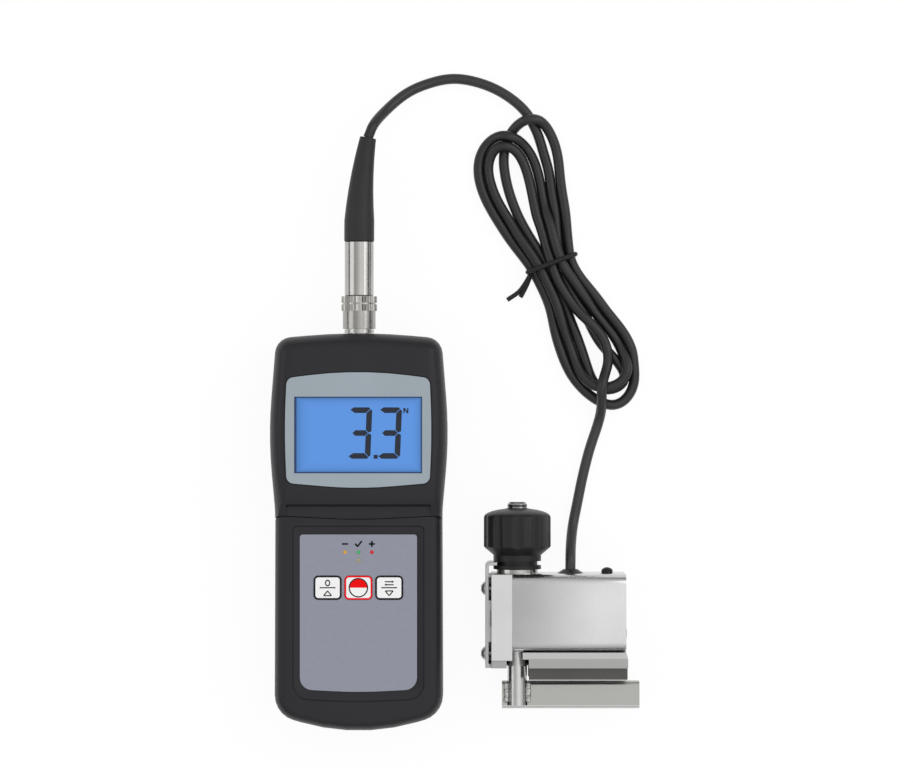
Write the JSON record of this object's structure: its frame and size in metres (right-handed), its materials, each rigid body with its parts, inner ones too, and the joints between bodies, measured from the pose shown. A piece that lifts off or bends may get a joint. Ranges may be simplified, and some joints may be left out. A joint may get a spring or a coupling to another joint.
{
  "type": "belt tension tester",
  "caption": "Hand-held belt tension tester: a display meter with a keypad, joined by a plugged, hanked cable to a three-point belt sensor with a knob-driven jaw.",
  "frame": {"origin": "centre of the meter's flat back, which lies on the table", "axes": "+X from the meter towards the sensor, +Y along the meter towards its plug, +Z out of the display"},
  "size_m": [0.1522, 0.2671, 0.032],
  "materials": {
    "case_black": "fine satin",
    "bezel_silver": "printed satin",
    "window_clear": "clear",
    "lcd_blue": "backlit",
    "white_plastic": "plain",
    "strip_rubber": "plain",
    "board_green": "solder resist",
    "chip_black": "plain",
    "screw_steel": "zinc plated",
    "overlay_grey": "fine texture",
    "key_white": "printed",
    "key_red": "printed",
    "switch_grey": "plain",
    "light_amber": "clear tinted",
    "light_green": "clear tinted",
    "light_red": "clear tinted",
    "light_clear": "clear tinted",
    "cell_jacket": "plain jacket",
    "contact_nickel": "nickel plated",
    "plug_nickel": "nickel plated",
    "boot_rubber": "satin",
    "cable_rubber": "satin",
    "tie_black": "satin",
    "block_aluminium": "brushed",
    "shell_steel": "polished",
    "gauge_foil": "foil",
    "base_steel": "satin",
    "support_dark": "dull",
    "screw_black": "black oxide",
    "knob_black": "moulded satin",
    "bush_brass": "machined"
  },
  "bodies": {
    "tester_body": {"rear_case": "case_black", "upper_front_case": "case_black", "lower_front_case": "case_black", "case_screws": "screw_steel", "display_bezel": "bezel_silver", "display_window": "window_clear", "lcd_panel": "lcd_blue", "lcd_backlight": "white_plastic", "lcd_frame": "white_plastic", "lcd_strips": "strip_rubber", "main_board": "board_green", "board_components": "chip_black", "board_screws": "screw_steel", "keypad_overlay": "overlay_grey", "key_switches": "switch_grey", "light_low": "light_amber", "light_good": "light_green", "light_high": "light_red", "light_status": "light_clear", "battery_cells": "cell_jacket", "battery_springs": "contact_nickel", "battery_contacts": "contact_nickel", "meter_socket": "plug_nickel", "socket_nut": "plug_nickel", "plug_shell": "plug_nickel", "cable_boot": "boot_rubber", "cable_meter_lead": "cable_rubber", "cable_hank": "cable_rubber", "cable_tie": "tie_black", "cable_sensor_lead": "cable_rubber", "sensor_block": "block_aluminium", "sensor_shell": "shell_steel", "end_plate": "shell_steel", "end_screw": "screw_steel", "end_block": "block_aluminium", "load_cell": "block_aluminium", "strain_gauges": "gauge_foil", "load_cell_bolts": "screw_steel", "base_plate": "base_steel", "base_screws": "screw_steel", "front_support": "support_dark", "rear_support": "support_dark", "knob_retainer": "base_steel", "retainer_screws": "screw_steel", "thrust_ring": "plug_nickel", "shell_screw": "screw_black", "cable_grommet": "boot_rubber"},
    "knob": {"knob": "knob_black", "knob_bush": "bush_brass"},
    "jaw": {"jaw_rod": "base_steel", "jaw_bar": "base_steel", "jaw_welds": "base_steel"},
    "key_zero": {"key_zero": "key_white"},
    "key_power": {"key_power": "key_red"},
    "key_unit": {"key_unit": "key_white"},
    "coupling_ring": {"coupling_ring": "plug_nickel"},
    "battery_cover": {"battery_cover": "case_black"}
  },
  "joints": [
    {"name": "knob_turn", "type": "hinge", "parent": "tester_body", "child": "knob", "pos_m": [0.0642, -0.005, 0.014], "axis": [0, -1, 0], "range_deg": [-2890, 1450]},
    {"name": "jaw_slide", "type": "slide", "parent": "tester_body", "child": "jaw", "axis": [0, 1, 0], "range_m": [-0.01, 0.005]},
    {"name": "key_zero_press", "type": "slide", "parent": "tester_body", "child": "key_zero", "axis": [0, 0, -1], "range_m": [0, 0.0004], "stiffness_N_per_m": 60, "springref_m": -0.001},
    {"name": "key_power_press", "type": "slide", "parent": "tester_body", "child": "key_power", "axis": [0, 0, -1], "range_m": [0, 0.0004], "stiffness_N_per_m": 60, "springref_m": -0.001},
    {"name": "key_unit_press", "type": "slide", "parent": "tester_body", "child": "key_unit", "axis": [0, 0, -1], "range_m": [0, 0.0004], "stiffness_N_per_m": 60, "springref_m": -0.001},
    {"name": "ring_turn", "type": "hinge", "parent": "tester_body", "child": "coupling_ring", "pos_m": [0, 0.088, 0.016], "axis": [0, 1, 0], "range_deg": [0, 90]},
    {"name": "cover_slide", "type": "slide", "parent": "tester_body", "child": "battery_cover", "axis": [0, -1, 0], "range_m": [0, 0.07]}
  ],
  "couplings": [
    {"joint": "knob_turn", "follows": "jaw_slide", "rad_per_m": 5026.5}
  ]
}
